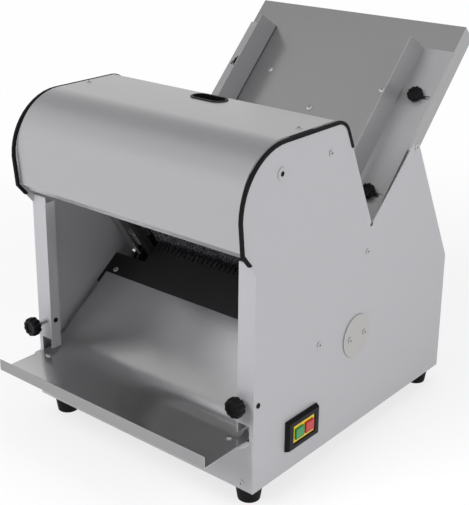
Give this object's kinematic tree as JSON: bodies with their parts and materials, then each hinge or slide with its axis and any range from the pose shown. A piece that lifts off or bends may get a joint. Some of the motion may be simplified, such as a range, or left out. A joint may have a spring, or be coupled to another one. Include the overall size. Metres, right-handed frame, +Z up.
{
  "type": "bread slicer",
  "caption": "Table-top bread slicer with a sloped rear feed chute, hinged hood, two counter-moving blade frames and a front discharge tray.",
  "frame": {"origin": "on the surface the feet stand on, under the middle of the machine's width and overall depth", "axes": "+Z up, -Y towards the discharge tray at the front, +X to the machine's right as seen from the front"},
  "size_m": [0.579, 0.8434, 0.7768],
  "materials": {
    "panel_sheet": "satin light grey sheet",
    "brushed_sheet": "brushed sheet",
    "inner_steel": "grey painted steel inside the body",
    "bright_steel": "bright fasteners and shafts",
    "blade_steel": "ground blade steel",
    "black_rubber": "black rubber",
    "black_plastic": "moulded black plastic",
    "white_plastic": "slide block plastic",
    "cast_iron": "pulley and bearing castings",
    "motor_paint": "painted motor body",
    "yellow_plate": "yellow switch plate",
    "green_button": "green start button",
    "red_button": "red stop button"
  },
  "bodies": {
    "machine": {"side_panel_left": "panel_sheet", "side_panel_right": "panel_sheet", "front_panel": "panel_sheet", "rear_cover": "panel_sheet", "bearing_covers": "panel_sheet", "chute_plate": "brushed_sheet", "discharge_tray": "brushed_sheet", "base_plate": "inner_steel", "chute_rail_left": "inner_steel", "chute_rail_right": "inner_steel", "discharge_comb": "inner_steel", "guide_channel_left": "inner_steel", "guide_channel_right": "inner_steel", "motor_bracket": "inner_steel", "pivot_bolt_left": "bright_steel", "pivot_bolt_right": "bright_steel", "chute_screws": "bright_steel", "tray_screws": "bright_steel", "stud_nuts": "bright_steel", "cover_screws": "bright_steel", "panel_screws": "bright_steel", "edge_trim_left": "black_rubber", "edge_trim_right": "black_rubber", "feet": "black_rubber", "drive_belt": "black_rubber", "switch_frame": "black_plastic", "cable_gland": "black_plastic", "bearing_left": "cast_iron", "bearing_right": "cast_iron", "motor": "motor_paint", "switch_plate": "yellow_plate"},
    "hood": {"hood": "brushed_sheet", "hood_bracket_left": "inner_steel", "hood_bracket_right": "inner_steel", "hood_handle": "black_plastic", "hood_screws": "bright_steel"},
    "crankshaft": {"crankshaft": "bright_steel", "driven_pulley": "cast_iron"},
    "front_frame": {"front_frame": "inner_steel", "front_blades": "blade_steel", "front_yoke_left": "inner_steel", "front_yoke_right": "inner_steel", "front_slide_blocks": "white_plastic"},
    "rear_frame": {"rear_frame": "inner_steel", "rear_blades": "blade_steel", "rear_yoke_left": "inner_steel", "rear_yoke_right": "inner_steel", "rear_slide_blocks": "white_plastic"},
    "motor_pulley": {"motor_pulley": "cast_iron"},
    "guide_left": {"guide_left": "brushed_sheet"},
    "guide_right": {"guide_right": "brushed_sheet"},
    "start_button": {"start_button": "green_button"},
    "stop_button": {"stop_button": "red_button"},
    "guide_knob_upper_left": {"guide_knob_upper_left": "black_plastic"},
    "guide_knob_lower_left": {"guide_knob_lower_left": "black_plastic"},
    "guide_knob_upper_right": {"guide_knob_upper_right": "black_plastic"},
    "guide_knob_lower_right": {"guide_knob_lower_right": "black_plastic"},
    "front_knob_left": {"front_knob_left": "black_plastic"},
    "front_knob_right": {"front_knob_right": "black_plastic"}
  },
  "joints": [
    {"name": "hood_hinge", "type": "hinge", "parent": "machine", "child": "hood", "pos_m": [0, -0.24474, 0.621], "axis": [1, 0, 0], "range_deg": [0, 42]},
    {"name": "crank_turn", "type": "hinge", "parent": "machine", "child": "crankshaft", "pos_m": [0, 0.00526, 0.234], "axis": [1, 0, 0], "range_deg": [-90, 90]},
    {"name": "front_frame_slide", "type": "slide", "parent": "machine", "child": "front_frame", "axis": [0, -0.5432, 0.8396], "range_m": [-0.015, 0.015]},
    {"name": "rear_frame_slide", "type": "slide", "parent": "machine", "child": "rear_frame", "axis": [0, -0.5432, 0.8396], "range_m": [-0.015, 0.015]},
    {"name": "motor_turn", "type": "hinge", "parent": "machine", "child": "motor_pulley", "pos_m": [0, 0.21226, 0.14], "axis": [1, 0, 0], "range_deg": [-206.67, 206.67]},
    {"name": "guide_left_slide", "type": "slide", "parent": "machine", "child": "guide_left", "axis": [-1, 0, 0], "range_m": [-0.025, 0.005]},
    {"name": "guide_right_slide", "type": "slide", "parent": "machine", "child": "guide_right", "axis": [1, 0, 0], "range_m": [-0.025, 0.005]},
    {"name": "start_press", "type": "slide", "parent": "machine", "child": "start_button", "axis": [-1, 0, 0], "range_m": [0, 0.003], "stiffness_N_per_m": 400},
    {"name": "stop_press", "type": "slide", "parent": "machine", "child": "stop_button", "axis": [-1, 0, 0], "range_m": [0, 0.003], "stiffness_N_per_m": 400},
    {"name": "guide_knob_upper_left_turn", "type": "hinge", "parent": "machine", "child": "guide_knob_upper_left", "pos_m": [-0.227, 0.26931, 0.64876], "axis": [0, -0.7193, 0.6947], "range_deg": [0, 360]},
    {"name": "guide_knob_lower_left_turn", "type": "hinge", "parent": "machine", "child": "guide_knob_lower_left", "pos_m": [-0.227, 0.11024, 0.48403], "axis": [0, -0.7193, 0.6947], "range_deg": [0, 360]},
    {"name": "front_knob_left_turn", "type": "hinge", "parent": "machine", "child": "front_knob_left", "pos_m": [-0.254, -0.30774, 0.212], "axis": [0, -1, 0], "range_deg": [0, 360]},
    {"name": "guide_knob_upper_right_turn", "type": "hinge", "parent": "machine", "child": "guide_knob_upper_right", "pos_m": [0.227, 0.26931, 0.64876], "axis": [0, -0.7193, 0.6947], "range_deg": [0, 360]},
    {"name": "guide_knob_lower_right_turn", "type": "hinge", "parent": "machine", "child": "guide_knob_lower_right", "pos_m": [0.227, 0.11024, 0.48403], "axis": [0, -0.7193, 0.6947], "range_deg": [0, 360]},
    {"name": "front_knob_right_turn", "type": "hinge", "parent": "machine", "child": "front_knob_right", "pos_m": [0.254, -0.30774, 0.212], "axis": [0, -1, 0], "range_deg": [0, 360]}
  ],
  "couplings": [
    {"joint": "front_frame_slide", "follows": "crank_turn", "m_per_rad": 0.0095493},
    {"joint": "rear_frame_slide", "follows": "crank_turn", "m_per_rad": -0.0095493},
    {"joint": "motor_turn", "follows": "crank_turn", "ratio": 2.2963}
  ]
}
